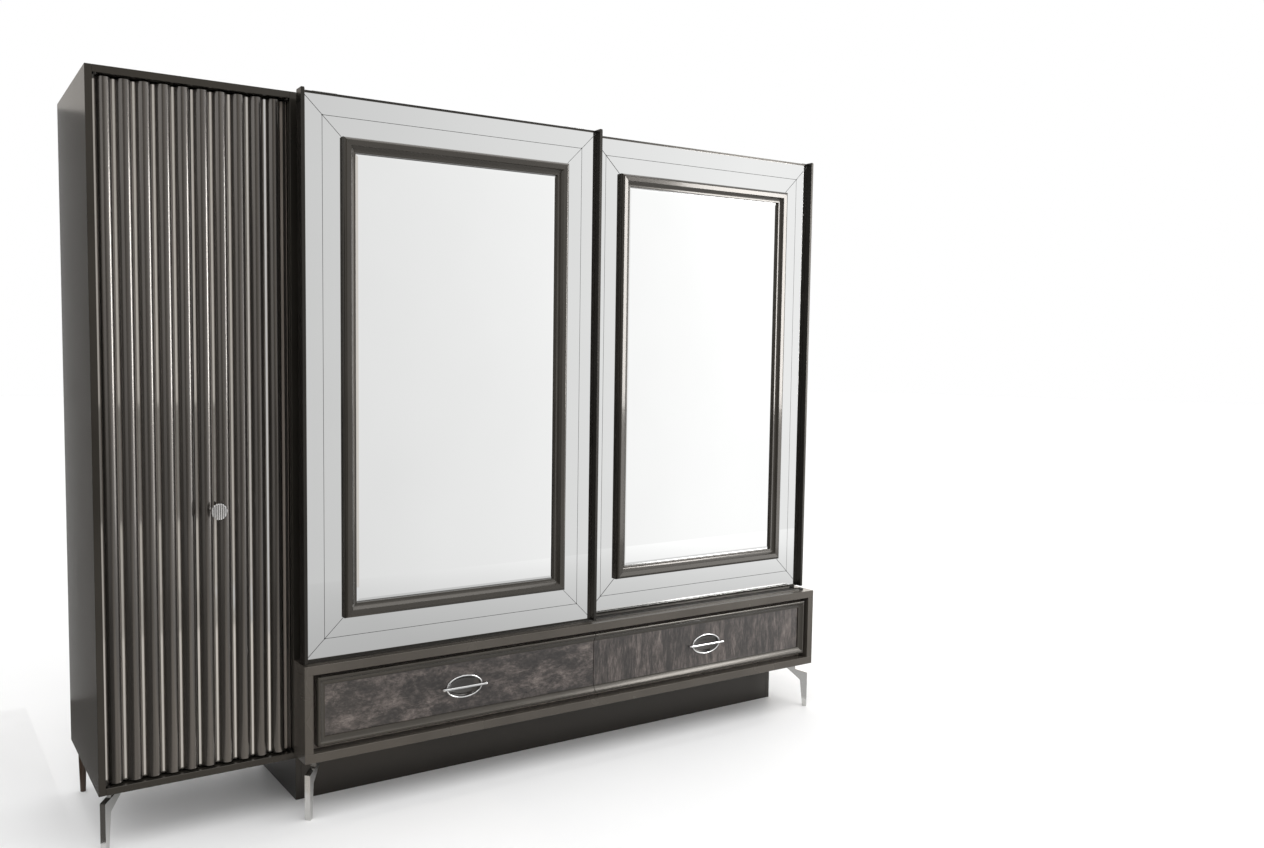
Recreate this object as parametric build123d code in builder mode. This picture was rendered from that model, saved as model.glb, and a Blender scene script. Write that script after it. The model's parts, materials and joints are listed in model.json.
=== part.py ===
"""A three-section wardrobe: a tall cabinet with a pair of fluted hinged doors, a wider carcass
with two sliding mirror doors, and a two-drawer box under the sliding doors.

The origin is at the middle of the footprint on the floor. +X runs along the length, +Y goes
from the front to the back, +Z is up. All sizes are in millimetres.
"""

import os
from math import cos, radians, sin

from build123d import *

os.makedirs("parts", exist_ok=True)

# ---------------------------------------------------------------- driving dimensions
overall_length = 2780
overall_height = 2200
carcass_depth = 495
drawer_box_projection = 91
overall_depth = carcass_depth + drawer_box_projection

side_cabinet_width = 605
side_overlap = 20
side_cabinet_base = 167
panel = 20
inner_board = 18
back_board = 8
edge_easing = 0.7

drawer_box_base = 179
drawer_box_height = 300
drawer_box_board = 28

plinth_setback = 71
plinth_end_inset = (30, 63)
plinth_depth = 330

# ---------------------------------------------------------------- main planes
x_left = -overall_length / 2
x_right = overall_length / 2
x_join = x_left + side_cabinet_width
x_box_left = x_join - side_overlap
y_back = overall_depth / 2
y_front = y_back - carcass_depth
y_box_front = y_front - drawer_box_projection
z_top = overall_height
z_ledge = drawer_box_base + drawer_box_height


def save(piece, name):
    """Label a finished piece and write it to its own file."""
    piece.part.label = name
    export_step(piece.part, f"parts/{name}.step")


def add_board(x, y, z):
    """Add a rectangular board, given the two ends of each side, to the part being built."""
    with BuildSketch(Plane.XY.offset(z[0])) as outline:
        with Locations(((x[0] + x[1]) / 2, (y[0] + y[1]) / 2)):
            Rectangle(x[1] - x[0], y[1] - y[0])
    extrude(outline.sketch, amount=z[1] - z[0])


def make_boards(name, boards, easing=edge_easing):
    """Make one node from one or more separate boards, each with its edges eased."""
    with BuildPart() as piece:
        for x, y, z in boards:
            add_board(x, y, z)
        chamfer(piece.edges(), easing)
    save(piece, name)


# ---------------------------------------------------------------- side cabinet carcass
side_inner = (x_left + panel, x_join - panel)
side_floor = side_cabinet_base + panel
side_ceiling = z_top - panel
full_depth = (y_front, y_back)
back_inset = 8
back_plane = (y_back - back_inset - back_board, y_back - back_inset)

make_boards(
    "side_cabinet_left_side",
    [((x_left, side_inner[0]), full_depth, (side_cabinet_base, z_top))],
)
make_boards(
    "side_cabinet_right_side",
    [((side_inner[1], x_join), full_depth, (side_cabinet_base, z_top))],
)
make_boards("side_cabinet_top", [(side_inner, full_depth, (side_ceiling, z_top))])
make_boards("side_cabinet_bottom", [(side_inner, full_depth, (side_cabinet_base, side_floor))])
make_boards("side_cabinet_back", [(side_inner, back_plane, (side_floor, side_ceiling))])

shelf_setback = 85
side_shelf_count = 4
side_bay = (side_ceiling - side_floor) / (side_shelf_count + 1)
side_shelf_heights = [side_floor + side_bay * (n + 1) for n in range(side_shelf_count)]
make_boards(
    "side_cabinet_shelves",
    [
        (side_inner, (y_front + shelf_setback, back_plane[0]), (height, height + inner_board))
        for height in side_shelf_heights
    ],
)

# ---------------------------------------------------------------- fluted hinged doors
flute_start = side_inner[0] + 2
flute_pitch = 54.3
flutes_per_door = 5
flute_offset = 9.4
flute_width = 42.6
flute_rise = 19
end_bead = (549, 558)
strip_width = 7.5
strip_thickness = 2.5
door_end_gap = 6
door_z = (side_floor + door_end_gap, side_ceiling - door_end_gap)
door_panel_y = (y_front + 28, y_front + 46)
meeting_x = flute_start + flutes_per_door * flute_pitch
meeting_gap = 3.5
door_panel_x = {
    "left_hinged_door": (flute_start, meeting_x - meeting_gap),
    "right_hinged_door": (meeting_x, side_inner[1] - 2),
}
knob_x = meeting_x + flute_pitch + strip_width / 2
knob_z = 959
knob_screw_hole = 4.5

hinge_inset = 7
hinge_y = y_front + 8
hinge_leaf_width = 12
hinge_leaf = 2.4
hinge_pin_radius = 3
hinge_pin_play = 0.05
hinge_x = {
    "left_hinged_door": side_inner[0] + hinge_inset,
    "right_hinged_door": side_inner[1] - hinge_inset,
}

for door, (panel_left, panel_right) in door_panel_x.items():
    first = 0 if door == "left_hinged_door" else flutes_per_door
    bays = [flute_start + flute_pitch * (first + n) for n in range(flutes_per_door)]
    has_knob = door == "right_hinged_door"

    with BuildPart() as door_panel:
        add_board((panel_left, panel_right), door_panel_y, door_z)
        chamfer(door_panel.edges(), edge_easing)
        if has_knob:
            with BuildSketch(Plane.XZ.offset(-door_panel_y[1])):
                with Locations((knob_x, knob_z)):
                    Circle(knob_screw_hole / 2)
            extrude(amount=door_panel_y[1] - door_panel_y[0], mode=Mode.SUBTRACT)
    save(door_panel, f"{door}_panel")

    with BuildPart() as strips:
        for bay in bays:
            strip_y = (door_panel_y[0] - strip_thickness, door_panel_y[0])
            add_board((bay, bay + strip_width), strip_y, door_z)
        chamfer(strips.edges().filter_by(Axis.Z), 0.5)
        if has_knob:
            with BuildSketch(Plane.XZ.offset(-door_panel_y[0])):
                with Locations((knob_x, knob_z)):
                    Circle(knob_screw_hole / 2)
            extrude(amount=strip_thickness, mode=Mode.SUBTRACT)
    save(strips, f"{door}_strips")

    with BuildPart() as flutes:
        for bay in bays:
            centre = bay + flute_offset + flute_width / 2
            with BuildSketch(Plane.XY.offset(door_z[0])):
                with BuildLine():
                    left_foot = (centre - flute_width / 2, door_panel_y[0])
                    right_foot = (centre + flute_width / 2, door_panel_y[0])
                    ThreePointArc(left_foot, (centre, door_panel_y[0] - flute_rise), right_foot)
                    Line(right_foot, left_foot)
                make_face()
            extrude(amount=door_z[1] - door_z[0])
        if has_knob:
            bead_x = (flute_start + end_bead[0], flute_start + end_bead[1])
            add_board(bead_x, (door_panel_y[0] - strip_thickness, door_panel_y[0]), door_z)
    save(flutes, f"{door}_flutes")

    # The door's own half of an offset pivot hinge: a leaf on its top edge and one on its foot.
    with BuildPart() as door_leaves:
        for leaf_base in (door_z[1], door_z[0] - hinge_leaf):
            with BuildSketch(Plane.XY.offset(leaf_base)):
                with Locations((hinge_x[door], (hinge_y + door_panel_y[1] - 2) / 2)):
                    Rectangle(hinge_leaf_width, door_panel_y[1] - 2 - hinge_y)
                with Locations((hinge_x[door], hinge_y)):
                    Circle(hinge_leaf_width / 2)
                    Circle(hinge_pin_radius + hinge_pin_play, mode=Mode.SUBTRACT)
            extrude(amount=hinge_leaf)
    save(door_leaves, f"{door}_hinge_leaves")

# The cabinet's half of the pivot hinges: leaves with pins, under the top and on the floor.
with BuildPart() as cabinet_leaves:
    for door in hinge_x:
        for leaf_base, pin_base in (
            (side_ceiling - hinge_leaf, side_ceiling - hinge_leaf - hinge_leaf - 0.9),
            (side_floor, side_floor + hinge_leaf),
        ):
            with BuildSketch(Plane.XY.offset(leaf_base)):
                with Locations((hinge_x[door], hinge_y + 30)):
                    Rectangle(hinge_leaf_width, 60)
                with Locations((hinge_x[door], hinge_y)):
                    Circle(hinge_leaf_width / 2)
            extrude(amount=hinge_leaf)
            with BuildSketch(Plane.XY.offset(pin_base)):
                with Locations((hinge_x[door], hinge_y)):
                    Circle(hinge_pin_radius)
            extrude(amount=hinge_leaf + 0.9)
save(cabinet_leaves, "hinge_cabinet_leaves")

# ---------------------------------------------------------------- reeded knob
knob_radius = 24
knob_head_back = y_front - 12
knob_head_thickness = 10
knob_stem = 4.8
knob_collar = 8
reed_count = 7
reed_pitch = 6.4
screw_length = 32

with BuildPart() as knob:
    stem_foot = door_panel_y[0] - strip_thickness
    with BuildSketch(Plane.XZ.offset(-stem_foot)):
        with Locations((knob_x, knob_z)):
            Circle(knob_stem)
    extrude(amount=stem_foot - knob_head_back)
    with BuildSketch(Plane.XZ.offset(-knob_head_back - 12)):
        with Locations((knob_x, knob_z)):
            Circle(knob_stem)
    with BuildSketch(Plane.XZ.offset(-knob_head_back)):
        with Locations((knob_x, knob_z)):
            Circle(knob_collar)
    loft()
    with BuildSketch(Plane.XZ.offset(-knob_head_back)):
        with Locations((knob_x, knob_z)):
            Circle(knob_radius)
    extrude(amount=knob_head_thickness)
    head_rims = knob.edges().filter_by(GeomType.CIRCLE).filter_by(lambda e: e.radius > 20)
    fillet(head_rims, 2.5)
    with BuildSketch(Plane.XY.offset(knob_z - knob_radius)):
        with Locations((knob_x, knob_head_back - knob_head_thickness - 0.6)):
            with GridLocations(reed_pitch, 1, reed_count, 1):
                Circle(reed_pitch * 0.4)
    extrude(amount=knob_radius * 2, mode=Mode.SUBTRACT)
    with BuildSketch(Plane.XZ.offset(-stem_foot)):
        with Locations((knob_x, knob_z)):
            Circle(2.1)
    extrude(amount=18, mode=Mode.SUBTRACT)
    # The screw that holds the knob, from inside the door.
    with BuildSketch(Plane.XZ.offset(-door_panel_y[1])):
        with Locations((knob_x, knob_z)):
            Circle(1.9)
    extrude(amount=screw_length)
    with BuildSketch(Plane.XZ.offset(-door_panel_y[1] - 2.6)):
        with Locations((knob_x, knob_z)):
            Circle(4.2)
    extrude(amount=2.6)
save(knob, "door_knob")

# ---------------------------------------------------------------- sliding-door carcass
main_front = y_front + 6
main_depth = (main_front, y_back)
main_inner = (x_join + inner_board, x_right - inner_board)
main_ceiling = z_top - 50
partition_x = (main_inner[0] + main_inner[1]) / 2

make_boards("main_left_side", [((x_join, main_inner[0]), main_depth, (z_ledge, z_top))])
make_boards("main_right_side", [((main_inner[1], x_right), main_depth, (z_ledge, z_top))])
make_boards("main_top", [(main_inner, main_depth, (main_ceiling, main_ceiling + inner_board))])
make_boards(
    "main_back",
    [((x_join, x_right), back_plane, (drawer_box_base + drawer_box_board, z_ledge - drawer_box_board)),
     (main_inner, back_plane, (z_ledge, main_ceiling))],
)
partition = (partition_x - inner_board / 2, partition_x + inner_board / 2)
compartment_y = (main_front + 20, back_plane[0])
make_boards("main_partition", [(partition, compartment_y, (z_ledge, main_ceiling))])

hat_shelf = main_ceiling - 300
low_shelf = z_ledge + 420
left_bay = (main_inner[0], partition[0])
right_bay = (partition[1], main_inner[1])
shelf_y = (main_front + 30, back_plane[0])
make_boards(
    "main_shelves",
    [
        (left_bay, shelf_y, (hat_shelf, hat_shelf + inner_board)),
        (right_bay, shelf_y, (hat_shelf, hat_shelf + inner_board)),
        (left_bay, shelf_y, (low_shelf, low_shelf + inner_board)),
    ],
)

rail_radius = 12.5
rail_drop = 60
rail_y = (compartment_y[0] + compartment_y[1]) / 2
with BuildPart() as hanging_rails:
    for bay_left, bay_right in (left_bay, right_bay):
        with BuildSketch(Plane.YZ.offset(bay_left)):
            with Locations((rail_y, hat_shelf - rail_drop)):
                Circle(rail_radius)
                Circle(rail_radius - 1.2, mode=Mode.SUBTRACT)
        extrude(amount=bay_right - bay_left)
save(hanging_rails, "hanging_rails")

# ---------------------------------------------------------------- sliding doors
glass_y = {"left_sliding_door": y_front - 66, "right_sliding_door": y_front - 16}
sliding_door_width = 1098
door_left_x = {
    "left_sliding_door": x_box_left + 2,
    "right_sliding_door": x_right - 1 - sliding_door_width,
}
stile_width = 12
stile_proud = 20
glass = 4
core = 15
door_bottom = 487
rail_bottom_height = 7
rail_top_height = 7
glass_z = (door_bottom + rail_bottom_height, 2192 - rail_top_height)
stile_top = glass_z[1] + rail_top_height
cap_height = 4
border_side = 123
border_end = 116
mitre_gap = 1.4
engraving_width = 1.6
engraving_depth = 0.8
moulding_width = 44
moulding_height = 20
mirror_thickness = 5
bevel_width = 10
bevel_depth = 1.2

track_base = 2
track_rib = 2
track_rib_height = 4
track_end_inset = 48
groove_half = 4.5
roller_radius = 10
roller_thickness = 6
axle_radius = 2.5
axle_play = 0.05
roller_z = z_ledge + track_base + roller_radius + 0.3
roller_inset = 110
roller_plane = glass + core / 2
notch_half = 15
notch_top = 510

top_groove_y = {"left_sliding_door": y_front + 36, "right_sliding_door": y_front + 18}
guide_width = 80
guide_plate = 2
joint_gap = 0.2
guide_z = {"left_sliding_door": z_top - 3, "right_sliding_door": main_ceiling + inner_board + 15}
top_track_base = main_ceiling + inner_board

for door, plane_y in glass_y.items():
    x0 = door_left_x[door]
    x1 = x0 + sliding_door_width
    glass_x = (x0 + stile_width, x1 - stile_width)
    centre_x = (x0 + x1) / 2
    centre_z = (glass_z[0] + glass_z[1]) / 2
    glass_size = (glass_x[1] - glass_x[0], glass_z[1] - glass_z[0])
    frame_size = (glass_size[0] - 2 * border_side, glass_size[1] - 2 * border_end)
    mirror_size = (frame_size[0] - 2 * moulding_width, frame_size[1] - 2 * moulding_width)
    core_back = plane_y + glass + core
    roller_y = plane_y + roller_plane
    roller_xs = (x0 + roller_inset, x1 - roller_inset)
    front_face = Plane(origin=(centre_x, plane_y, centre_z), x_dir=(1, 0, 0), z_dir=(0, -1, 0))

    with BuildPart() as core_board:
        add_board((glass_x[0] + 0.2, glass_x[1] - 0.2), (plane_y + glass, core_back), glass_z)
        for roller_x in roller_xs:
            with BuildSketch(Plane.XY.offset(glass_z[0])):
                with Locations((roller_x, roller_y)):
                    Rectangle(2 * notch_half, core)
            extrude(amount=notch_top - glass_z[0], mode=Mode.SUBTRACT)
    save(core_board, f"{door}_core")

    with BuildPart() as edge_frame:
        for stile_x in ((x0, glass_x[0]), (glass_x[1], x1)):
            add_board(stile_x, (plane_y - stile_proud, core_back), (door_bottom, stile_top))
        chamfer(edge_frame.edges().filter_by(Axis.Z), 1.2)
        for cap_x in (x0 + stile_width / 2, x1 - stile_width / 2):
            with BuildSketch(Plane.XY.offset(stile_top + 0.1)):
                with Locations((cap_x, (plane_y - stile_proud + core_back) / 2)):
                    RectangleRounded(stile_width, core_back - plane_y + stile_proud, 3)
            extrude(amount=cap_height)
        cap_rims = edge_frame.faces().sort_by(Axis.Z)[-2:].edges()
        fillet(cap_rims, 2.5)
        between = (glass_x[0] + 0.2, glass_x[1] - 0.2)
        add_board(between, (plane_y - 1, core_back), (glass_z[1], stile_top))
        add_board(between, (plane_y - 1, core_back), (door_bottom, glass_z[0]))
        for roller_x in roller_xs:
            with BuildSketch(Plane.XY.offset(door_bottom)):
                with Locations((roller_x, roller_y)):
                    Rectangle(2 * notch_half, core - 2)
            extrude(amount=rail_bottom_height, mode=Mode.SUBTRACT)
    save(edge_frame, f"{door}_edge_frame")

    # Four mitred strips of mirror round the frame, each engraved with a line along its middle.
    with BuildPart() as border:
        with BuildSketch(front_face):
            Rectangle(glass_size[0] - 1, glass_size[1])
            Rectangle(*frame_size, mode=Mode.SUBTRACT)
            for side_x in (-1, 1):
                for side_z in (-1, 1):
                    outer = (side_x * glass_size[0] / 2, side_z * glass_size[1] / 2)
                    inner = (side_x * frame_size[0] / 2, side_z * frame_size[1] / 2)
                    run = (outer[0] - inner[0], outer[1] - inner[1])
                    length = (run[0] ** 2 + run[1] ** 2) ** 0.5
                    normal = (-run[1] / length * mitre_gap / 2, run[0] / length * mitre_gap / 2)
                    over = (run[0] * 0.02, run[1] * 0.02)
                    far = (outer[0] + over[0], outer[1] + over[1])
                    near = (inner[0] - over[0], inner[1] - over[1])
                    with BuildLine():
                        Polyline(
                            (far[0] + normal[0], far[1] + normal[1]),
                            (near[0] + normal[0], near[1] + normal[1]),
                            (near[0] - normal[0], near[1] - normal[1]),
                            (far[0] - normal[0], far[1] - normal[1]),
                            close=True,
                        )
                    make_face(mode=Mode.SUBTRACT)
        extrude(amount=-glass)
        middle_size = ((glass_size[0] + frame_size[0]) / 2, (glass_size[1] + frame_size[1]) / 2)
        with BuildSketch(front_face):
            Rectangle(middle_size[0] + engraving_width, middle_size[1] + engraving_width)
            Rectangle(
                middle_size[0] - engraving_width,
                middle_size[1] - engraving_width,
                mode=Mode.SUBTRACT,
            )
        extrude(amount=-engraving_depth, mode=Mode.SUBTRACT)
    save(border, f"{door}_mirror_border")

    # Moulded frame: a rounded outer shoulder, a flat crown, a hollow and an inner lip.
    with BuildPart() as moulding:
        outer_x = frame_size[0] / 2
        foot = plane_y + glass
        section = Plane(
            origin=(centre_x - outer_x, foot, centre_z), x_dir=(1, 0, 0), z_dir=(0, 0, 1)
        )
        with BuildLine(front_face.offset(-glass)) as route:
            Polyline(
                (-outer_x, 0),
                (-outer_x, frame_size[1] / 2),
                (outer_x, frame_size[1] / 2),
                (outer_x, -frame_size[1] / 2),
                (-outer_x, -frame_size[1] / 2),
                close=True,
            )
        with BuildSketch(section):
            with BuildLine():
                Line((0.3, 0), (0.3, -glass - 10))
                ThreePointArc((0.3, -glass - 10), (3.2, -glass - 17), (10, -glass - 20))
                Line((10, -glass - 20), (24, -glass - 19))
                ThreePointArc((24, -glass - 19), (31, -glass - 11.5), (37, -glass - 8))
                Line((37, -glass - 8), (41, -glass - 8))
                ThreePointArc((41, -glass - 8), (43, -glass - 7.2), (43.7, -glass - 5.5))
                Line((43.7, -glass - 5.5), (43.7, 0))
                Line((43.7, 0), (0.3, 0))
            make_face()
        sweep(path=route.wires()[0], transition=Transition.RIGHT)
        for side_x in (-1, 1):
            for side_z in (-1, 1):
                corner = front_face.offset(-glass - 5)
                with BuildSketch(corner):
                    corner_x = side_x * (outer_x - moulding_width / 2)
                    corner_z = side_z * (frame_size[1] - moulding_width) / 2
                    with Locations(Location((corner_x, corner_z), side_x * side_z * 45)):
                        Rectangle(2 * moulding_width, 0.3)
                extrude(amount=40, mode=Mode.SUBTRACT)
    save(moulding, f"{door}_moulding")

    with BuildPart() as centre_mirror:
        with BuildSketch(front_face.offset(-glass)):
            Rectangle(*mirror_size)
        extrude(amount=mirror_thickness - bevel_depth)
        with BuildSketch(front_face.offset(mirror_thickness - glass - bevel_depth)):
            Rectangle(*mirror_size)
        with BuildSketch(front_face.offset(mirror_thickness - glass)):
            Rectangle(mirror_size[0] - 2 * bevel_width, mirror_size[1] - 2 * bevel_width)
        loft()
    save(centre_mirror, f"{door}_centre_mirror")

    # Roller forks in the foot of the door, and guide arms that reach back to the top track.
    with BuildPart() as running_gear:
        for roller_x in roller_xs:
            for cheek_y in (roller_y - 5.5, roller_y + 4):
                add_board(
                    (roller_x - 9, roller_x + 9), (cheek_y, cheek_y + 1.5), (486.6, notch_top - 2)
                )
            add_board(
                (roller_x - 9, roller_x + 9), (roller_y - 5.5, roller_y + 5.5), (506, notch_top - 0.5)
            )
            with BuildSketch(Plane.XZ.offset(-(roller_y + 5.5))):
                with Locations((roller_x, roller_z)):
                    Circle(axle_radius)
            extrude(amount=11)
        arm_top = guide_z[door] + guide_plate
        arm_back = top_groove_y[door] + 3
        for arm_x in ((x0 + 50, x0 + 50 + guide_width), (x1 - 50 - guide_width, x1 - 50)):
            add_board(arm_x, (core_back, core_back + guide_plate), (arm_top - 60, arm_top))
            reach = (core_back + guide_plate + joint_gap, arm_back)
            add_board(arm_x, reach, (guide_z[door], arm_top))
            tongue_z = (top_track_base + track_base + 1, guide_z[door] - joint_gap)
            add_board(arm_x, (top_groove_y[door] - 3, arm_back), tongue_z)
    save(running_gear, f"{door}_running_gear")

    for number, roller_x in enumerate(roller_xs, start=1):
        with BuildPart() as roller:
            with BuildSketch(Plane.XZ.offset(-(roller_y + roller_thickness / 2))):
                with Locations((roller_x, roller_z)):
                    Circle(roller_radius)
                    Circle(axle_radius + axle_play, mode=Mode.SUBTRACT)
            extrude(amount=roller_thickness)
            rims = roller.edges().filter_by(GeomType.CIRCLE).filter_by(lambda e: e.radius > 5)
            fillet(rims, 1)
        save(roller, f"{door}_roller_{number}")

# ---------------------------------------------------------------- tracks
with BuildPart() as bottom_track:
    track_x = (x_join + 2, x_right - track_end_inset)
    track_front = glass_y["left_sliding_door"] + roller_plane - 9
    track_back = glass_y["right_sliding_door"] + roller_plane + 9
    add_board(track_x, (track_front, track_back), (z_ledge, z_ledge + track_base))
    for plane_y in glass_y.values():
        for rib_y in (
            plane_y + roller_plane - groove_half - track_rib,
            plane_y + roller_plane + groove_half,
        ):
            rib_z = (z_ledge + track_base, z_ledge + track_base + track_rib_height)
            add_board(track_x, (rib_y, rib_y + track_rib), rib_z)
save(bottom_track, "bottom_track")

with BuildPart() as top_track:
    track_x = (main_inner[0] + 1, main_inner[1] - 1)
    top_track_y = (y_front + 8, y_front + 46)
    add_board(track_x, top_track_y, (top_track_base, top_track_base + track_base))
    for groove_y in top_groove_y.values():
        for rib_y in (groove_y - groove_half - track_rib, groove_y + groove_half):
            rib_z = (top_track_base + track_base, top_track_base + track_base + 6)
            add_board(track_x, (rib_y, rib_y + track_rib), rib_z)
save(top_track, "top_track")

# ---------------------------------------------------------------- drawer box
# The box laps in front of the side cabinet, so its left end steps back at the cabinet's front.
box_inner = (x_box_left + drawer_box_board, x_right - drawer_box_board)
box_inner_z = (drawer_box_base + drawer_box_board, z_ledge - drawer_box_board)
box_depth = (y_box_front, y_back)
for name, board_z in (
    ("drawer_box_top", (box_inner_z[1], z_ledge)),
    ("drawer_box_bottom", (drawer_box_base, box_inner_z[0])),
):
    with BuildPart() as stepped_board:
        with BuildSketch(Plane.XY.offset(board_z[0])):
            with BuildLine():
                Polyline(
                    (x_box_left, y_box_front),
                    (x_right, y_box_front),
                    (x_right, y_back),
                    (x_join, y_back),
                    (x_join, y_front),
                    (x_box_left, y_front),
                    close=True,
                )
            make_face()
        extrude(amount=board_z[1] - board_z[0])
        chamfer(stepped_board.edges(), edge_easing)
    save(stepped_board, name)

step_y = y_front - joint_gap
rear_left_end = (x_join, x_join + drawer_box_board)
make_boards(
    "drawer_box_sides",
    [
        ((x_box_left, box_inner[0]), (y_box_front, step_y), box_inner_z),
        (rear_left_end, (y_front, back_plane[0]), box_inner_z),
        ((box_inner[1], x_right), (y_box_front, back_plane[0]), box_inner_z),
    ],
)
split_x = (box_inner[0] + box_inner[1]) / 2
reveal_y = y_box_front + 42
divider = (split_x - inner_board / 2, split_x + inner_board / 2)
make_boards("drawer_box_divider", [(divider, (reveal_y, back_plane[0]), box_inner_z)])

filler_width = 30
batten_height = 24
batten_y = (reveal_y, reveal_y + 18)
filler_inner = (box_inner[0] + filler_width, box_inner[1] - filler_width)
top_batten = (box_inner_z[1] - batten_height, box_inner_z[1])
bottom_batten = (box_inner_z[0], box_inner_z[0] + batten_height)
make_boards(
    "drawer_box_fillers",
    [
        ((box_inner[0], filler_inner[0]), (reveal_y, step_y), box_inner_z),
        ((rear_left_end[1], filler_inner[0]), (y_front, back_plane[0]), box_inner_z),
        ((filler_inner[1], box_inner[1]), (reveal_y, back_plane[0]), box_inner_z),
        ((filler_inner[0] + 0.2, divider[0] - 0.2), batten_y, top_batten),
        ((divider[1] + 0.2, filler_inner[1] - 0.2), batten_y, top_batten),
        ((filler_inner[0] + 0.2, divider[0] - 0.2), batten_y, bottom_batten),
        ((divider[1] + 0.2, filler_inner[1] - 0.2), batten_y, bottom_batten),
    ],
)

# ---------------------------------------------------------------- drawers
reveal = 15
front_bottom = box_inner_z[0] + 18
front_top = box_inner_z[1] - 11
front_gap = 2
veneer_y = y_box_front + 16
front_thickness = 18
drawer_moulding = 27
drawer_moulding_rise = 12
front_x = {
    "left_drawer": (box_inner[0] + reveal, split_x - front_gap / 2),
    "right_drawer": (split_x + front_gap / 2, box_inner[1] - reveal),
}
bay_x = {"left_drawer": (filler_inner[0], divider[0]), "right_drawer": (divider[1], filler_inner[1])}
handle_offset = 532
handle_x = {"left_drawer": split_x - handle_offset, "right_drawer": split_x + handle_offset}
handle_z = (front_bottom + front_top) / 2 - 1
handle_ring = (69, 38)
ring_tube = 2.6
cup_mouth = (65, 34)
cup_floor = (56, 25)
cup_depth = 13
bar_half_length = 87
bar_half_height = 3.5
bar_half_thickness = 2.4
bar_standoff = 12

runner_gap = 12.5
runner_z = (300, 336)
tray_board = 12
tray_z = (box_inner_z[0] + 30, box_inner_z[1] - 34)
tray_y = (veneer_y + front_thickness, veneer_y + front_thickness + 440)
tray_floor = 8

with BuildPart() as fixed_runners:
    for bay_left, bay_right in bay_x.values():
        for wall, inward in ((bay_left, 1), (bay_right, -1)):
            web = sorted((wall, wall + inward * 1.5))
            lips = sorted((wall, wall + inward * 9))
            runner_y = (batten_y[1] + 1, tray_y[1])
            add_board(web, runner_y, runner_z)
            add_board(lips, runner_y, (runner_z[0], runner_z[0] + 1.5))
            add_board(lips, runner_y, (runner_z[1] - 1.5, runner_z[1]))
save(fixed_runners, "drawer_fixed_runners")

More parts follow.
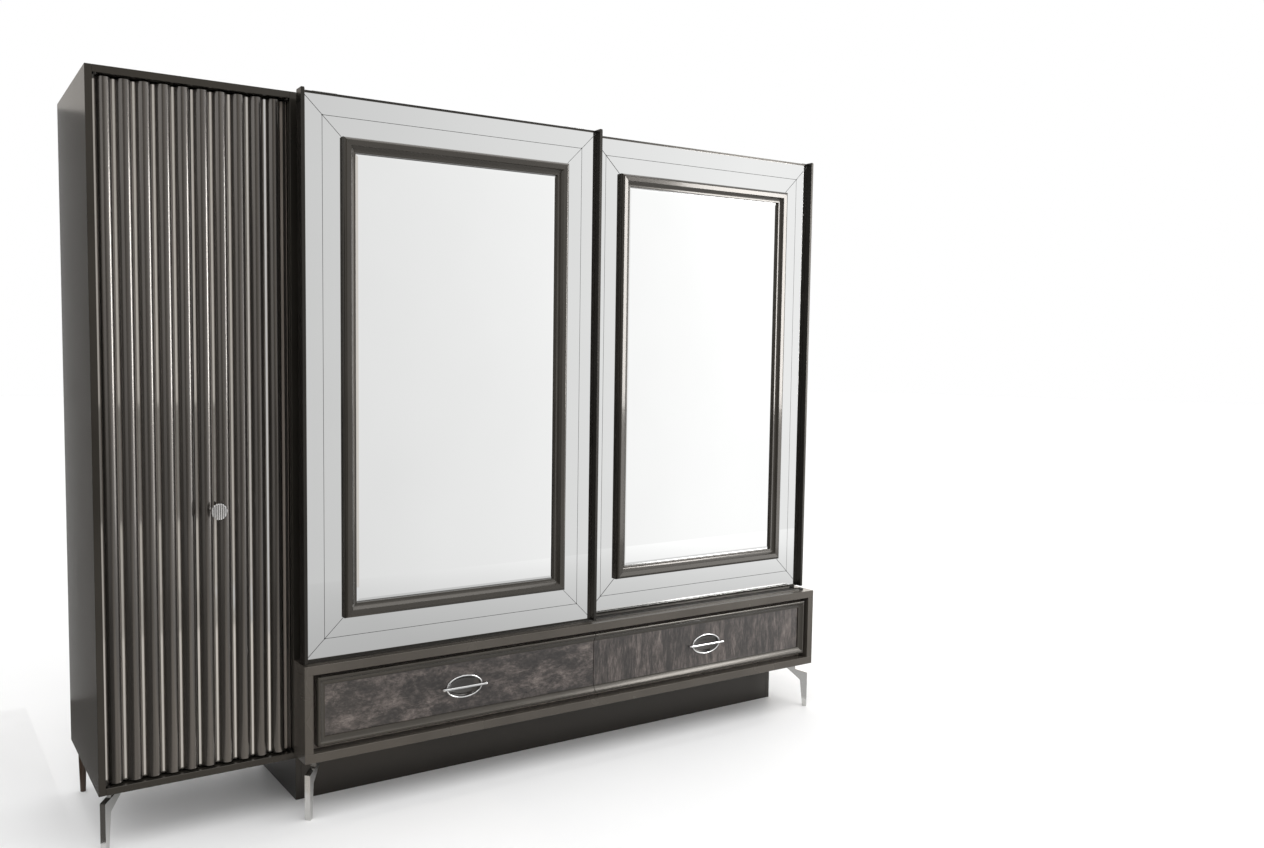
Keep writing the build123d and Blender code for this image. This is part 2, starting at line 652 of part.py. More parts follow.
for drawer, (front_left, front_right) in front_x.items():
    bay_left, bay_right = bay_x[drawer]
    outer_x, outward = (front_left, 1) if drawer == "left_drawer" else (front_right, -1)
    inner_x = front_right if drawer == "left_drawer" else front_left

    # The front has an elliptical cup behind its handle, for the fingers.
    face = Plane(origin=(handle_x[drawer], veneer_y, handle_z), x_dir=(1, 0, 0), z_dir=(0, -1, 0))
    with BuildPart() as drawer_front:
        front_y = (veneer_y, veneer_y + front_thickness)
        add_board((front_left, front_right), front_y, (front_bottom, front_top))
        chamfer(drawer_front.edges(), 0.4)
        with BuildSketch(face):
            Ellipse(*cup_mouth)
        with BuildSketch(face.offset(-cup_depth)):
            Ellipse(*cup_floor)
        loft(mode=Mode.SUBTRACT)
    save(drawer_front, f"{drawer}_front")

    # The moulding runs round the outer three edges of the front: none where the fronts meet.
    with BuildPart() as drawer_frame:
        with BuildLine() as route:
            Polyline(
                (inner_x, veneer_y, front_top),
                (outer_x, veneer_y, front_top),
                (outer_x, veneer_y, front_bottom),
                (inner_x, veneer_y, front_bottom),
            )
        section = Plane(
            origin=(inner_x, veneer_y, front_top), x_dir=(0, 0, -1), z_dir=(-outward, 0, 0)
        )
        rise = drawer_moulding_rise if outward > 0 else -drawer_moulding_rise
        with BuildSketch(section):
            with BuildLine():
                Line((0, 0), (0, rise * 0.45))
                ThreePointArc((0, rise * 0.45), (1.5, rise * 0.84), (5, rise))
                Line((5, rise), (9, rise))
                ThreePointArc((9, rise), (16, rise * 0.56), (24, rise * 0.3))
                Line((24, rise * 0.3), (drawer_moulding, rise * 0.3))
                Line((drawer_moulding, rise * 0.3), (drawer_moulding, 0))
                Line((drawer_moulding, 0), (0, 0))
            make_face()
        sweep(path=route.wires()[0], transition=Transition.RIGHT)
        for corner_z, tilt in ((front_top, -1), (front_bottom, 1)):
            with BuildSketch(Plane.XZ.offset(-veneer_y - 2)):
                middle = (
                    outer_x + outward * drawer_moulding / 2,
                    corner_z + tilt * drawer_moulding / 2,
                )
                with Locations(Location(middle, outward * tilt * 45)):
                    Rectangle(2 * drawer_moulding, 0.25)
            extrude(amount=20, mode=Mode.SUBTRACT)
    save(drawer_frame, f"{drawer}_moulding")

    tray_x = (bay_left + runner_gap, bay_right - runner_gap)
    inside_x = (tray_x[0] + tray_board + 0.1, tray_x[1] - tray_board - 0.1)
    make_boards(
        f"{drawer}_tray",
        [
            ((tray_x[0], tray_x[0] + tray_board), tray_y, tray_z),
            ((tray_x[1] - tray_board, tray_x[1]), tray_y, tray_z),
            (inside_x, (tray_y[0], tray_y[0] + tray_board), tray_z),
            (inside_x, (tray_y[1] - tray_board, tray_y[1]), tray_z),
            (
                inside_x,
                (tray_y[0] + tray_board + 0.1, tray_y[1] - tray_board - 0.1),
                (tray_z[0] + 6, tray_z[0] + 6 + tray_floor),
            ),
        ],
        easing=0.5,
    )

    with BuildPart() as slides:
        for wall, inward in ((bay_left, 1), (bay_right, -1)):
            slide_x = sorted((wall + inward * 2.5, wall + inward * runner_gap))
            slide_y = (batten_y[1] + 1, tray_y[1])
            add_board(slide_x, slide_y, (runner_z[0] + 3, runner_z[1] - 3))
    save(slides, f"{drawer}_slides")

    # Elliptical rim round the cup, and a bar across it that stands on two short posts.
    with BuildPart() as handle:
        with BuildLine(face.offset(ring_tube)) as ring_route:
            ring_axes = (handle_ring[0] - ring_tube, handle_ring[1] - ring_tube)
            EllipticalCenterArc((0, 0), ring_axes[0], ring_axes[1], start_angle=0, arc_size=360)
        with BuildSketch(Plane(origin=ring_route.line @ 0, z_dir=ring_route.line % 0)):
            Circle(ring_tube - 0.05)
        sweep(path=ring_route.wires()[0])
        across = Plane(origin=face.origin, x_dir=(1, 0, 0), z_dir=(0, 0, 1))
        post_x = bar_half_length - 3
        with BuildLine(across) as bar_route:
            FilletPolyline(
                (-post_x, 0),
                (-post_x, -bar_standoff),
                (post_x, -bar_standoff),
                (post_x, 0),
                radius=6,
            )
        with BuildSketch(Plane(origin=bar_route.line @ 0, x_dir=(0, 0, 1), z_dir=bar_route.line % 0)):
            Ellipse(bar_half_height, bar_half_thickness)
        sweep(path=bar_route.wires()[0])
    save(handle, f"{drawer}_handle")

# ---------------------------------------------------------------- plinth and legs
plinth_x = (x_box_left + plinth_end_inset[0], x_right - plinth_end_inset[1])
plinth_y = (y_front + plinth_setback, y_front + plinth_setback + plinth_depth)
plinth_z = (0, drawer_box_base)
plinth_inner = (plinth_x[0] + inner_board + 0.1, plinth_x[1] - inner_board - 0.1)
make_boards(
    "plinth",
    [
        ((plinth_x[0], plinth_x[0] + inner_board), plinth_y, plinth_z),
        ((plinth_x[1] - inner_board, plinth_x[1]), plinth_y, plinth_z),
        (plinth_inner, (plinth_y[0], plinth_y[0] + inner_board), plinth_z),
        (plinth_inner, (plinth_y[1] - inner_board, plinth_y[1]), plinth_z),
    ],
)

leg_thickness = 18
leg_plate = 4
leg_plate_size = 62
leg_corners = [
    (x_left, y_front, 45, side_cabinet_base),
    (x_box_left, y_box_front, 45, drawer_box_base),
    (x_right, y_box_front, 135, drawer_box_base),
]
with BuildPart() as chrome_legs:
    for corner_x, corner_y, heading, underside in leg_corners:
        inward = (cos(radians(heading)), sin(radians(heading)))
        neck = underside - leg_plate
        leg_side = Plane(
            origin=(corner_x, corner_y, 0),
            x_dir=(inward[0], inward[1], 0),
            z_dir=(inward[1], -inward[0], 0),
        )
        with BuildSketch(leg_side) as leg_profile:
            with BuildLine():
                Polyline(
                    (16, 0),
                    (32, 0),
                    (43, 108),
                    (106, neck - 12),
                    (110, neck),
                    (64, neck),
                    (61, 151),
                    (16, 140),
                    close=True,
                )
            make_face()
            fillet(leg_profile.vertices().sort_by_distance((43, 108))[0], 10)
        extrude(amount=leg_thickness / 2, both=True)
        plate_centre = leg_side.from_local_coords((87, 0, 0))
        with BuildSketch(Plane.XY.offset(neck)):
            with Locations(Location((plate_centre.X, plate_centre.Y), 45)):
                Rectangle(leg_plate_size, leg_plate_size)
        extrude(amount=leg_plate)
save(chrome_legs, "chrome_legs")

rear_leg_inset = (30, 30)
rear_leg_y = y_back - 28
with BuildPart() as rear_legs:
    for leg_x in (x_left + rear_leg_inset[0], x_join - rear_leg_inset[1]):
        with BuildSketch(Plane.XY):
            with Locations((leg_x, rear_leg_y)):
                Circle(9)
        with BuildSketch(Plane.XY.offset(side_cabinet_base)):
            with Locations((leg_x, rear_leg_y)):
                Circle(14)
        loft()
save(rear_legs, "rear_legs")
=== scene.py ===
"""Looks for the wardrobe: materials, small fittings, a pale studio and the camera.

Lengths are in metres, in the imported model's own frame: +X along the length, +Y to the back, +Z up.
"""

import json
from math import cos, pi, radians, sin

import bmesh
import bpy
from mathutils import Matrix, Vector


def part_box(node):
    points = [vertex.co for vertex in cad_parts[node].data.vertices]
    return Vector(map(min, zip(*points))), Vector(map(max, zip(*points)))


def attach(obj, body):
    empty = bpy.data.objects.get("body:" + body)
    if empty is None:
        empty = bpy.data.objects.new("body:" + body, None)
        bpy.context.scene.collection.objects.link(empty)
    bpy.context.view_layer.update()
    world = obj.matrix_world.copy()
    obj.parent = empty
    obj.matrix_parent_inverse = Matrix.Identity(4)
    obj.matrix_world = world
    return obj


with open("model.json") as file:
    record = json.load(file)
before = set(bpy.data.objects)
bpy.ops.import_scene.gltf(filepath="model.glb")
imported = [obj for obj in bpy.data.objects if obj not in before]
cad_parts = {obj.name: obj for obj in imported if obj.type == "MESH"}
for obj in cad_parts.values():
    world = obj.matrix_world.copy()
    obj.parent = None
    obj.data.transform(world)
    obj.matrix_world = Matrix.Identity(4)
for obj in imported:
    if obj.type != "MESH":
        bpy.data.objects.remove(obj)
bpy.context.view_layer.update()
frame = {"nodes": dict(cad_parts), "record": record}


# ------------------------------------------------------------------------------ materials
class Paint:
    """A procedural material: one Principled shader, with helpers for what feeds it."""

    def __init__(self, name, **sockets):
        self.material = bpy.data.materials.new(name)
        self.material.use_nodes = True
        self.tree = self.material.node_tree
        self.shader = self.tree.nodes["Principled BSDF"]
        self.place = self.tree.nodes.new("ShaderNodeTexCoord").outputs["Object"]
        for socket, value in sockets.items():
            self.shader.inputs[socket.replace("_", " ")].default_value = value

    def noise(self, scale, stretch=(1, 1, 1), detail=4, roughness=0.55, distortion=0.0):
        """A noise pattern of so many cells a metre, divided by stretch along each axis."""
        mapping = self.tree.nodes.new("ShaderNodeMapping")
        mapping.inputs["Scale"].default_value = [1 / s for s in stretch]
        self.tree.links.new(self.place, mapping.inputs["Vector"])
        noise = self.tree.nodes.new("ShaderNodeTexNoise")
        noise.inputs["Scale"].default_value = scale
        noise.inputs["Detail"].default_value = detail
        noise.inputs["Roughness"].default_value = roughness
        noise.inputs["Distortion"].default_value = distortion
        self.tree.links.new(mapping.outputs["Vector"], noise.inputs["Vector"])
        return noise.outputs["Fac"]

    def ramp(self, factor, *stops):
        """Colours along a factor: each stop is (position, (r, g, b))."""
        ramp = self.tree.nodes.new("ShaderNodeValToRGB")
        elements = ramp.color_ramp.elements
        while len(elements) < len(stops):
            elements.new(0.5)
        for element, (position, colour) in zip(elements, stops):
            element.position = position
            element.color = (*colour, 1)
        self.tree.links.new(factor, ramp.inputs["Fac"])
        return ramp.outputs["Color"]

    def span(self, factor, low, high, start=0.3, end=0.7):
        """A number that goes from low to high as the factor goes from start to end."""
        node = self.tree.nodes.new("ShaderNodeMapRange")
        for socket, value in (("From Min", start), ("From Max", end), ("To Min", low), ("To Max", high)):
            node.inputs[socket].default_value = value
        self.tree.links.new(factor, node.inputs["Value"])
        return node.outputs["Result"]

    def blend(self, factor, first, second, kind="MIX"):
        """Two colours mixed by a factor."""
        node = self.tree.nodes.new("ShaderNodeMix")
        node.data_type = "RGBA"
        node.blend_type = kind
        self.tree.links.new(factor, node.inputs[0])
        self.tree.links.new(first, node.inputs[6])
        self.tree.links.new(second, node.inputs[7])
        return node.outputs[2]

    def colour(self, output):
        self.tree.links.new(output, self.shader.inputs["Base Color"])

    def gloss(self, output):
        self.tree.links.new(output, self.shader.inputs["Roughness"])

    def bump(self, height, distance, strength=1.0):
        node = self.tree.nodes.new("ShaderNodeBump")
        node.inputs["Distance"].default_value = distance
        node.inputs["Strength"].default_value = strength
        self.tree.links.new(height, node.inputs["Height"])
        self.tree.links.new(node.outputs["Normal"], self.shader.inputs["Normal"])


def shades(colour, spread):
    """A darker and a lighter version of a colour."""
    return [tuple(c * (1 - spread) for c in colour), tuple(c * (1 + spread) for c in colour)]


def lacquer(name, colour, roughness, metallic=0.0, grain=(1, 1, 1), coat=0.0):
    """Sprayed lacquer with a warm cast: faint cloudiness and a trace of the grain."""
    paint = Paint(name, Metallic=metallic, Coat_Weight=coat, Coat_Roughness=0.04)
    paint.shader.inputs["Specular Tint"].default_value = (1.0, 0.93, 0.85, 1)
    low, high = shades(colour, 0.1)
    clouds = paint.noise(6, stretch=grain, detail=2)
    paint.colour(paint.ramp(clouds, (0.3, low), (0.7, high)))
    paint.gloss(paint.span(clouds, roughness * 0.94, roughness * 1.08))
    return paint.material


def polished_metal(name, colour, roughness, grain=(1, 1, 1)):
    """Plated or brushed metal, with fine marks along the grain."""
    paint = Paint(name, Metallic=1.0)
    low, high = shades(colour, 0.04)
    marks = paint.noise(240, stretch=grain, detail=3)
    paint.colour(paint.ramp(marks, (0.3, low), (0.7, high)))
    paint.gloss(paint.span(marks, roughness * 0.7, roughness * 1.4))
    return paint.material


def silvered_glass(name, colour):
    """Mirror: nearly even, with a faint haze that comes and goes."""
    paint = Paint(name, Metallic=1.0)
    haze = paint.noise(2.2, detail=2)
    low, high = shades(colour, 0.012)
    paint.colour(paint.ramp(haze, (0.3, low), (0.7, high)))
    paint.gloss(paint.span(haze, 0.004, 0.02))
    return paint.material


def metallic_flute(name):
    """Pewter paint under a clear coat, with long faint upright streaks."""
    paint = Paint(name, Metallic=0.85, Coat_Weight=1.0, Coat_Roughness=0.11)
    streaks = paint.noise(110, stretch=(1, 1, 120), detail=4, roughness=0.55)
    low, high = shades((0.108, 0.098, 0.088), 0.22)
    paint.colour(paint.ramp(streaks, (0.35, low), (0.65, high)))
    paint.gloss(paint.span(streaks, 0.20, 0.24))
    return paint.material


def burl(name, drift, fleck):
    """Smoky burl veneer under lacquer: clouds, pale flecks and dark pores, drawn out along one way."""
    paint = Paint(name, Coat_Weight=0.5, Coat_Roughness=0.12)
    clouds = paint.noise(17, stretch=drift, detail=12, roughness=0.8, distortion=0.3)
    flecks = paint.noise(100, stretch=fleck, detail=8, roughness=0.8, distortion=0.3)
    pores = paint.noise(420, stretch=fleck, detail=3)
    ground = paint.ramp(
        clouds,
        (0.41, (0.009, 0.0066, 0.0055)),
        (0.49, (0.020, 0.015, 0.0128)),
        (0.55, (0.060, 0.047, 0.041)),
        (0.64, (0.155, 0.127, 0.113)),
    )
    pale = paint.ramp(flecks, (0.44, (0.012, 0.009, 0.0075)), (0.62, (0.170, 0.140, 0.125)))
    mixed = paint.blend(paint.span(clouds, 0.12, 0.5, 0.44, 0.60), ground, pale)
    dark = paint.ramp(pores, (0.36, (0.010, 0.008, 0.007)), (0.5, (0.05, 0.042, 0.038)))
    paint.colour(paint.blend(paint.span(pores, 0.45, 0.0, 0.32, 0.44), mixed, dark))
    paint.gloss(paint.span(flecks, 0.26, 0.42))
    paint.bump(pores, 0.00008, 0.3)
    return paint.material


def melamine(name, colour, grain):
    """Textured board for what is inside and behind."""
    paint = Paint(name)
    streaks = paint.noise(70, stretch=grain, detail=6, roughness=0.65)
    low, high = shades(colour, 0.3)
    paint.colour(paint.ramp(streaks, (0.3, low), (0.7, high)))
    paint.gloss(paint.span(streaks, 0.42, 0.6))
    paint.bump(streaks, 0.00012, 0.4)
    return paint.material


def moulded_plastic(name, colour):
    """Matt moulded plastic or rubber."""
    paint = Paint(name)
    low, high = shades(colour, 0.12)
    grain = paint.noise(900, detail=2)
    paint.colour(paint.ramp(grain, (0.3, low), (0.7, high)))
    paint.gloss(paint.span(grain, 0.45, 0.6))
    paint.bump(grain, 0.00005, 0.3)
    return paint.material


along_x = (30, 1, 1)
upright = (1, 1, 30)
looks = {
    "carcass_lacquer": lacquer("carcass_lacquer", (0.016, 0.0145, 0.012), 0.17),
    "box_lacquer": lacquer("box_lacquer", (0.052, 0.046, 0.039), 0.26),
    "inner_board": melamine("inner_board", (0.20, 0.17, 0.145), upright),
    "flute_lacquer": metallic_flute("flute_lacquer"),
    "moulding_lacquer": lacquer("moulding_lacquer", (0.020, 0.018, 0.015), 0.15, coat=0.2),
    "burl_veneer": burl("burl_veneer_across", drift=(1.7, 1, 0.9), fleck=(2.0, 1, 0.9)),
    "plinth_board": lacquer("plinth_board", (0.0062, 0.0052, 0.0043), 0.3),
    "dark_wood": lacquer("dark_wood", (0.035, 0.020, 0.013), 0.3, grain=upright),
    "graphite_frame": lacquer("graphite_frame", (0.022, 0.021, 0.019), 0.24, metallic=0.6),
    "track_aluminium": polished_metal("track_aluminium", (0.62, 0.62, 0.63), 0.28, grain=along_x),
    "steel": polished_metal("steel", (0.5, 0.5, 0.49), 0.3, grain=along_x),
    "chrome": polished_metal("chrome", (0.69, 0.69, 0.69), 0.05),
    "mirror": silvered_glass("mirror", (0.955, 0.96, 0.955)),
    "roller_plastic": moulded_plastic("roller_plastic", (0.5, 0.5, 0.47)),
}
border_glass = silvered_glass("border_mirror", (0.765, 0.77, 0.765))
core_board = lacquer("core_board", (0.012, 0.011, 0.010), 0.4)
satin_moulding = lacquer("satin_moulding", (0.026, 0.0235, 0.0195), 0.24)
dark_nickel = polished_metal("dark_nickel", (0.045, 0.043, 0.040), 0.3)
polished_strip = polished_metal("polished_strip", (0.64, 0.63, 0.61), 0.06)
special_looks = {
    "hinge_cabinet_leaves": dark_nickel,
    "left_hinged_door_hinge_leaves": dark_nickel,
    "right_hinged_door_hinge_leaves": dark_nickel,
    "left_hinged_door_strips": polished_strip,
    "right_hinged_door_strips": polished_strip,
    "left_sliding_door_core": core_board,
    "right_sliding_door_core": core_board,
    # The bottom track is dark bronze metal, kept this dark also as painted shade for the dark band under
    # the sliding doors.
    "bottom_track": polished_metal("bronze_track_with_painted_shade", (0.10, 0.095, 0.088), 0.3, grain=along_x),
    "left_sliding_door_mirror_border": border_glass,
    "right_sliding_door_mirror_border": border_glass,
    "right_drawer_front": burl("burl_veneer_upright", drift=(0.55, 1, 2.6), fleck=(0.6, 1, 3.0)),
    "left_drawer_moulding": satin_moulding,
    "right_drawer_moulding": satin_moulding,
    "chrome_legs": polished_metal("satin_chrome", (0.56, 0.555, 0.54), 0.14),
}
rubber = moulded_plastic("black_rubber", (0.02, 0.02, 0.02))
enamel = lacquer("cup_enamel", (0.016, 0.015, 0.014), 0.16, coat=1.0)
engraving_ink = moulded_plastic("engraving_ink", (0.03, 0.03, 0.03))

smooth_angle = radians(32)
for part in frame["record"]["subparts"]:
    node = frame["nodes"][part["node"]]
    node.data.materials.clear()
    node.data.materials.append(special_looks.get(part["node"], looks[part["material_slot"]]))
    node.data.shade_smooth()
    node.data.set_sharp_from_angle(angle=smooth_angle)


# ------------------------------------------------------------------------------ small fittings
def finished_piece(name, shape, material, body):
    """Turn a bmesh into a piece that rides on a body."""
    mesh = bpy.data.meshes.new(name)
    shape.to_mesh(mesh)
    shape.free()
    piece = bpy.data.objects.new(name, mesh)
    bpy.context.scene.collection.objects.link(piece)
    mesh.materials.append(material)
    mesh.shade_smooth()
    mesh.set_sharp_from_angle(angle=smooth_angle)
    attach(piece, body)
    return piece


def turned(outline, segments=32, squash=1.0):
    """A closed shape turned about Z from (radius, height) points, round or squashed along Y."""
    shape = bmesh.new()
    rings = []
    for radius, height in outline:
        if radius == 0:
            rings.append([shape.verts.new((0, 0, height))])
            continue
        angles = [2 * pi * n / segments for n in range(segments)]
        rings.append(
            [shape.verts.new((radius * cos(a), radius * squash * sin(a), height)) for a in angles]
        )
    for lower, upper in zip(rings, rings[1:]):
        for n in range(segments):
            m = (n + 1) % segments
            if len(lower) == 1:
                shape.faces.new((lower[0], upper[n], upper[m]))
            elif len(upper) == 1:
                shape.faces.new((lower[n], lower[m], upper[0]))
            else:
                shape.faces.new((lower[n], lower[m], upper[m], upper[n]))
    bmesh.ops.recalc_face_normals(shape, faces=shape.faces)
    return shape


def facing(direction, place):
    """The matrix that stands a turned shape at a place with its axis along a direction."""
    turn = Vector(direction).to_track_quat("Z", "Y").to_matrix().to_4x4()
    return Matrix.Translation(Vector(place)) @ turn


track_low, track_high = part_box("bottom_track")


def end_stop(name, x, y):
    """A rubber block at the end of a groove of the bottom track."""
    shape = bmesh.new()
    bmesh.ops.create_cube(shape, size=1)
    size = Vector((0.020, 0.016, 0.006))
    shape.transform(Matrix.Diagonal((*size, 1)))
    bmesh.ops.bevel(shape, geom=shape.edges[:], offset=0.0018, segments=4, affect="EDGES", profile=0.6)
    shape.transform(Matrix.Translation((x, y, track_low.z + size.z / 2)))
    return finished_piece(name, shape, rubber, "carcass")


# The stops stand on the ledge just past the end of the track.
for side in ("left", "right"):
    roller_low, roller_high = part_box(f"{side}_sliding_door_roller_1")
    centre = (roller_low + roller_high) / 2
    end_stop(f"{side}_track_end_stop", track_high.x + 0.012, centre.y)


def block(shape, low, high):
    """Add a box between two corners."""
    cube = bmesh.ops.create_cube(shape, size=1)["verts"]
    size = Vector(high) - Vector(low)
    placed = Matrix.Translation((Vector(low) + Vector(high)) / 2) @ Matrix.Diagonal((*size, 1))
    bmesh.ops.transform(shape, matrix=placed, verts=cube)


def mitre_lines(door):
    """The dark joints where the four lengths of a mirror border meet."""
    width, depth, proud = 0.0027, 0.0006, 0.0001
    border_low, border_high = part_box(f"{door}_mirror_border")
    frame_low, frame_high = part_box(f"{door}_moulding")
    shape = bmesh.new()
    for x, inner_x in ((border_low.x, frame_low.x), (border_high.x, frame_high.x)):
        for z, inner_z in ((border_low.z, frame_low.z), (border_high.z, frame_high.z)):
            along = Vector((inner_x - x, 0, inner_z - z))
            middle = Vector(((x + inner_x) / 2, border_low.y - proud + depth / 2, (z + inner_z) / 2))
            strip = bmesh.ops.create_cube(shape, size=1)["verts"]
            size = Matrix.Diagonal((along.length - 2 * width, depth, width, 1))
            turn = along.to_track_quat("X", "Y").to_matrix().to_4x4()
            bmesh.ops.transform(shape, matrix=Matrix.Translation(middle) @ turn @ size, verts=strip)
    return finished_piece(f"{door}_mitre_lines", shape, engraving_ink, door)


def engraved_line(door):
    """The inked line along the middle of a mirror border, with a dot at each mitre."""
    line, ink, dot = 0.0018, 0.0006, 0.0023
    border_low, border_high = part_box(f"{door}_mirror_border")
    frame_low, frame_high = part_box(f"{door}_moulding")
    front_y = border_low.y + 0.00015
    low, high = (border_low + frame_low) / 2, (border_high + frame_high) / 2
    shape = bmesh.new()
    for x in (low.x, high.x):
        block(shape, (x - line / 2, front_y, low.z), (x + line / 2, front_y + ink, high.z))
        for z in (low.z, high.z):
            spot = turned([(0, 0), (dot, 0), (dot, ink), (0, ink)], segments=20)
            spot.transform(facing((0, -1, 0), (x, border_low.y + 0.0003, z)))
            mesh = bpy.data.meshes.new("dot")
            spot.to_mesh(mesh)
            spot.free()
            shape.from_mesh(mesh)
            bpy.data.meshes.remove(mesh)
    for z in (low.z, high.z):
        block(shape, (low.x, front_y, z - line / 2), (high.x, front_y + ink, z + line / 2))
    return finished_piece(f"{door}_engraved_line", shape, engraving_ink, door)


def finger_cup(drawer):
    """The dished dark liner of the elliptical cup behind a drawer's handle."""
    rim_low, rim_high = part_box(f"{drawer}_handle")
    veneer_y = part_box(f"{drawer}_front")[0].y
    centre = (rim_low + rim_high) / 2
    outline = [(0, -0.0129), (0.0475, -0.0129), (0.0646, -0.0002), (0.0630, -0.0002), (0.0575, -0.0032)]
    outline += [(0.0500, -0.0070), (0.0400, -0.0100), (0.0250, -0.0116), (0, -0.0122)]
    cup = turned(outline, segments=72, squash=0.52)
    cup.transform(facing((0, -1, 0), (centre.x, veneer_y, centre.z)))
    return finished_piece(f"{drawer}_finger_cup", cup, enamel, drawer)


for side in ("left", "right"):
    engraved_line(f"{side}_sliding_door")
    mitre_lines(f"{side}_sliding_door")
    finger_cup(f"{side}_drawer")


# ------------------------------------------------------------------------------ studio
def stage_mesh(name, corners, faces, material):
    mesh = bpy.data.meshes.new(name)
    mesh.from_pydata(corners, [], faces)
    mesh.materials.append(material)
    thing = bpy.data.objects.new(name, mesh)
    bpy.context.scene.collection.objects.link(thing)
    return thing


def glow(name, low, high=None, x=(0, 1), across="Z", reach=(0, 2.8), gain=(1, 1), tint=(1, 1, 1)):
    """An even glow, or one that goes from low to high along X, with a gain that runs across it."""
    material = bpy.data.materials.new(name)
    material.use_nodes = True
    tree = material.node_tree
    tree.nodes.clear()
    emission = tree.nodes.new("ShaderNodeEmission")
    emission.inputs["Color"].default_value = (*tint, 1)
    output = tree.nodes.new("ShaderNodeOutputMaterial")
    tree.links.new(emission.outputs["Emission"], output.inputs["Surface"])
    if high is None:
        emission.inputs["Strength"].default_value = low
        return material
    place = tree.nodes.new("ShaderNodeTexCoord")
    split = tree.nodes.new("ShaderNodeSeparateXYZ")
    tree.links.new(place.outputs["Object"], split.inputs["Vector"])
    product = tree.nodes.new("ShaderNodeMath")
    product.operation = "MULTIPLY"
    for number, (axis, values) in enumerate((("X", (*x, low, high)), (across, (*reach, *gain)))):
        span = tree.nodes.new("ShaderNodeMapRange")
        for socket, value in zip(("From Min", "From Max", "To Min", "To Max"), values):
            span.inputs[socket].default_value = value
        tree.links.new(split.outputs[axis], span.inputs["Value"])
        tree.links.new(span.outputs["Result"], product.inputs[number])
    tree.links.new(product.outputs["Value"], emission.inputs["Strength"])
    return material


# Painted reflection: the card glows only for glossy reflections; the camera does not see it, it lights
# nothing and it casts no shadow.
def only_reflected(card):
    card.visible_camera = False
    card.visible_diffuse = False
    card.visible_shadow = False
    card.visible_transmission = False
    return card


def reflected_card(name, path, height, material):
    """An upright glowing screen along a path of (x, y) points, seen only in reflections: a painted
    reflection.
    """
    corners = [(x, y, z) for x, y in path for z in height]
    faces = [(2 * n, 2 * n + 2, 2 * n + 3, 2 * n + 1) for n in range(len(path) - 1)]
    return only_reflected(stage_mesh(name, corners, faces, material))


def floor_card(name, x, y, material):
    """A glowing patch of floor seen only in reflections: a painted reflection of the floor, with painted
    shade where it glows dimmer than the lit floor.
    """
    corners = [(x[0], y[0], 0.002), (x[1], y[0], 0.002), (x[1], y[1], 0.002), (x[0], y[1], 0.002)]
    return only_reflected(stage_mesh(name, corners, [(0, 1, 2, 3)], material))


floor_paint = Paint("studio_floor", Specular_IOR_Level=0.25)
floor_tone = floor_paint.ramp(
    floor_paint.noise(1.5),
    (0.3, (0.885, 0.885, 0.885)),
    (0.7, (0.90, 0.90, 0.90)),
)
floor_paint.colour(floor_tone)
floor_paint.gloss(floor_paint.span(floor_paint.noise(12), 0.45, 0.6))
reach = 40
stage_mesh(
    "studio_floor",
    [(-reach, -reach, 0), (reach, -reach, 0), (reach, reach, 0), (-reach, reach, 0)],
    [(0, 1, 2, 3)],
    floor_paint.material,
)

# Painted reflections: glowing cards that only the glossy surfaces see, standing for a dim warm room to the
# left and a pale one to the right.
front = -3.3
tall = (0.0, 4.6)
warm = (1.0, 0.95, 0.89)
pale = glow("pale_room_reflection", 0.78, 1.1, x=(0.4, 4.2), gain=(0.94, 1.0))
reflected_card("pale_front", [(0.1, front), (7.0, front)], tall, pale)
half_lit = glow("half_lit_room_reflection", 0.2, 0.62, x=(-1.7, -0.5), tint=warm)
reflected_card("half_lit_front", [(0.1, front), (-2.6, front)], tall, half_lit)
dark_rise_reflection = glow("dark_rise_reflection", 0.12, 0.26, x=(-1.7, -0.5), tint=warm)
reflected_card("low_front", [(-0.1, front + 0.05), (-2.6, front + 0.05)], (0.45, 1.15), dark_rise_reflection)
left_window_reflection = glow("left_window_reflection", 0.75, 0.7, x=(-4.2, -2.6), gain=(0.35, 1.25), tint=(1.0, 0.985, 0.965))
reflected_card("left_window_reflection", [(-2.6, front), (-4.2, -1.6)], (0.0, 2.8), left_window_reflection)
dim = glow("dim_room_reflection", 0.155, tint=warm)
reflected_card("dim_left", [(-4.2, -1.6), (-4.2, 1.2), (-1.5, 1.2)], (0.0, 2.4), dim)
upper = glow("upper_room_reflection", 0.65, tint=warm)
reflected_card("dim_left_upper", [(-4.2, 1.25), (-1.5, 1.25)], (2.2, 6.0), upper)
# Painted shade in the floor's reflections: these glowing patches stand in for the lit floor in glossy
# reflections, darker to the left of the cabinet and nearer to it.
floor_card("dim_floor_painted_shade", (-4.2, -1.43), (-3.3, 1.2), glow("dim_floor_painted_shade", 0.12, tint=warm))
near_floor_painted_shade = glow("near_floor_painted_shade", 0.6, 0.95, x=(-1.4, 0.2), tint=warm)
floor_card("near_floor_painted_shade", (-1.43, -0.2), (-2.4, -0.35), near_floor_painted_shade)
pale_floor_painted_reflection = glow("pale_floor_painted_reflection", 0.74, 1.22, x=(0.4, 4.2), across="Y", reach=(-3.3, -1.6), gain=(0.95, 0.76))
floor_card("pale_floor_painted_reflection", (-0.2, 7.0), (-3.3, -0.35), pale_floor_painted_reflection)
floor_card("far_floor_painted_shade", (-1.43, -0.2), (-3.3, -2.4), glow("far_floor_painted_shade", 0.5, tint=warm))
reflected_card("right_window_reflection", [(4.4, -1.0), (4.4, 3.0)], (0.1, 3.0), glow("right_window_reflection", 2.2, tint=warm))

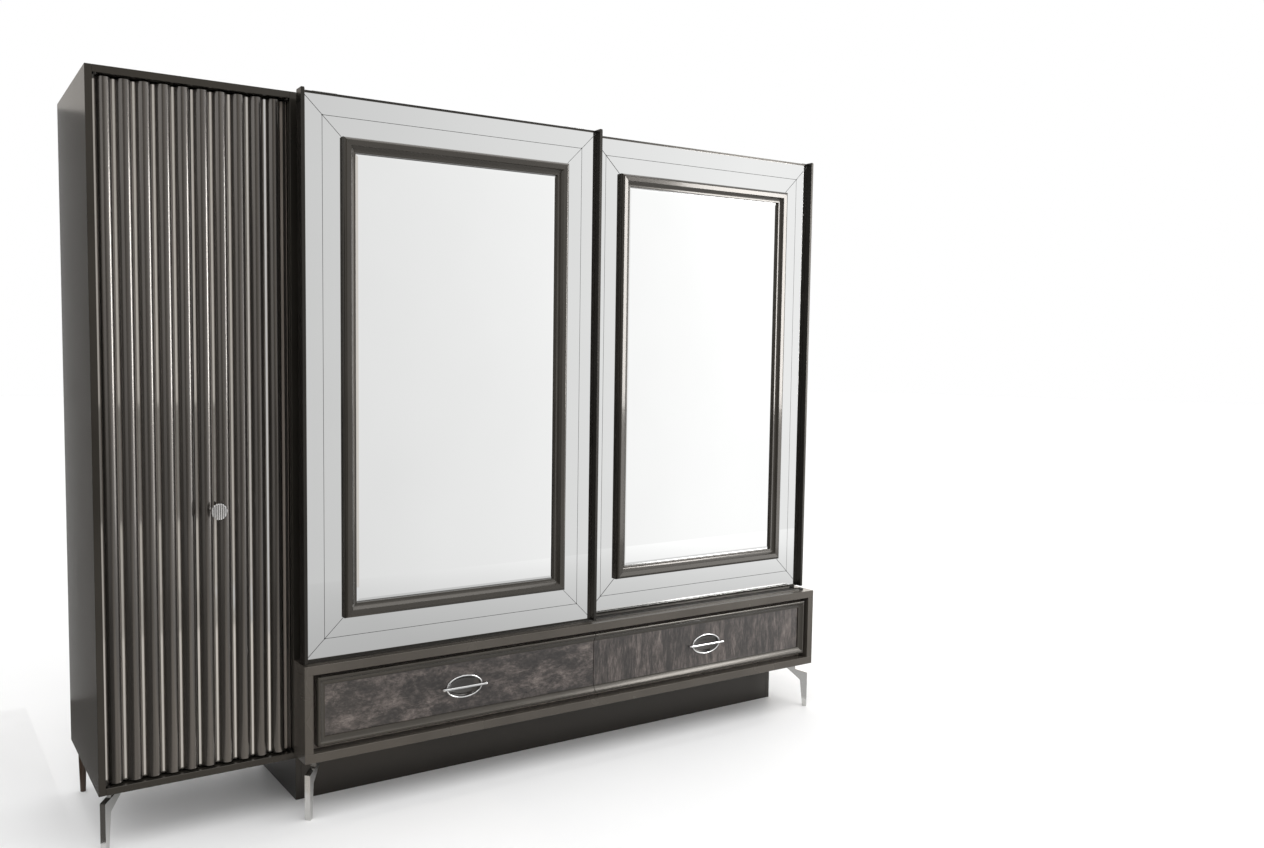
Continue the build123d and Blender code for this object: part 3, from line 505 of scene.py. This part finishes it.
world = bpy.data.worlds.new("studio")
world.use_nodes = True
world.node_tree.nodes["Background"].inputs["Color"].default_value = (1, 1, 1, 1)
world.node_tree.nodes["Background"].inputs["Strength"].default_value = 1.0
bpy.context.scene.world = world


def soft_box(name, place, target, size, power):
    """A rectangular studio light aimed at a point."""
    light = bpy.data.lights.new(name, "AREA")
    light.shape = "RECTANGLE"
    light.size, light.size_y = size
    light.energy = power
    lamp = bpy.data.objects.new(name, light)
    lamp.location = place
    lamp.rotation_mode = "QUATERNION"
    lamp.rotation_quaternion = (Vector(target) - Vector(place)).to_track_quat("-Z", "Y")
    bpy.context.scene.collection.objects.link(lamp)
    return lamp


def not_in_mirrors(lamp):
    """Keep a lamp's own shape out of the mirrors, as a photographer would."""
    lit = bpy.data.collections.new(lamp.name + "_receivers")
    for node_name, node in frame["nodes"].items():
        if not node_name.endswith(("mirror", "mirror_border")):
            lit.objects.link(node)
    lamp.light_linking.receiver_collection = lit


soft_box("overhead_light", (0.4, -1.6, 4.6), (0.2, -0.4, 0.0), (5.0, 3.0), 58)
not_in_mirrors(soft_box("right_strip_light", (2.9, -2.15, 1.95), (-1.1, -0.2, 1.6), (0.8, 1.7), 55))
not_in_mirrors(soft_box("right_wide_light", (3.1, -2.3, 1.6), (-1.1, -0.2, 1.5), (2.3, 2.9), 34))

sun = bpy.data.lights.new("even_light", "SUN")
sun.energy = 0.6
sun.angle = radians(110)
sun_lamp = bpy.data.objects.new("even_light", sun)
sun_lamp.rotation_euler = (radians(20), radians(12), 0)
bpy.context.scene.collection.objects.link(sun_lamp)

# ------------------------------------------------------------------------------ camera
camera_place = Vector((-1.8707, -3.0671, 1.3931))
heading, tilt, roll = radians(28.609), radians(3.762), radians(0.136)
forward = Vector((sin(heading) * cos(tilt), cos(heading) * cos(tilt), -sin(tilt)))
level_right = forward.cross(Vector((0, 0, 1))).normalized()
level_up = level_right.cross(forward)
right = cos(roll) * level_right + sin(roll) * level_up
up = cos(roll) * level_up - sin(roll) * level_right

lens = bpy.data.cameras.new("photo_camera")
lens.sensor_width = 36
lens.lens = 28.41
lens.shift_x = 0.1553
lens.shift_y = 0.0041
camera = bpy.data.objects.new("photo_camera", lens)
camera.matrix_world = Matrix.Translation(camera_place) @ Matrix((right, up, -forward)).transposed().to_4x4()
bpy.context.scene.collection.objects.link(camera)
bpy.context.scene.camera = camera
bpy.context.scene.view_settings.view_transform = "Standard"
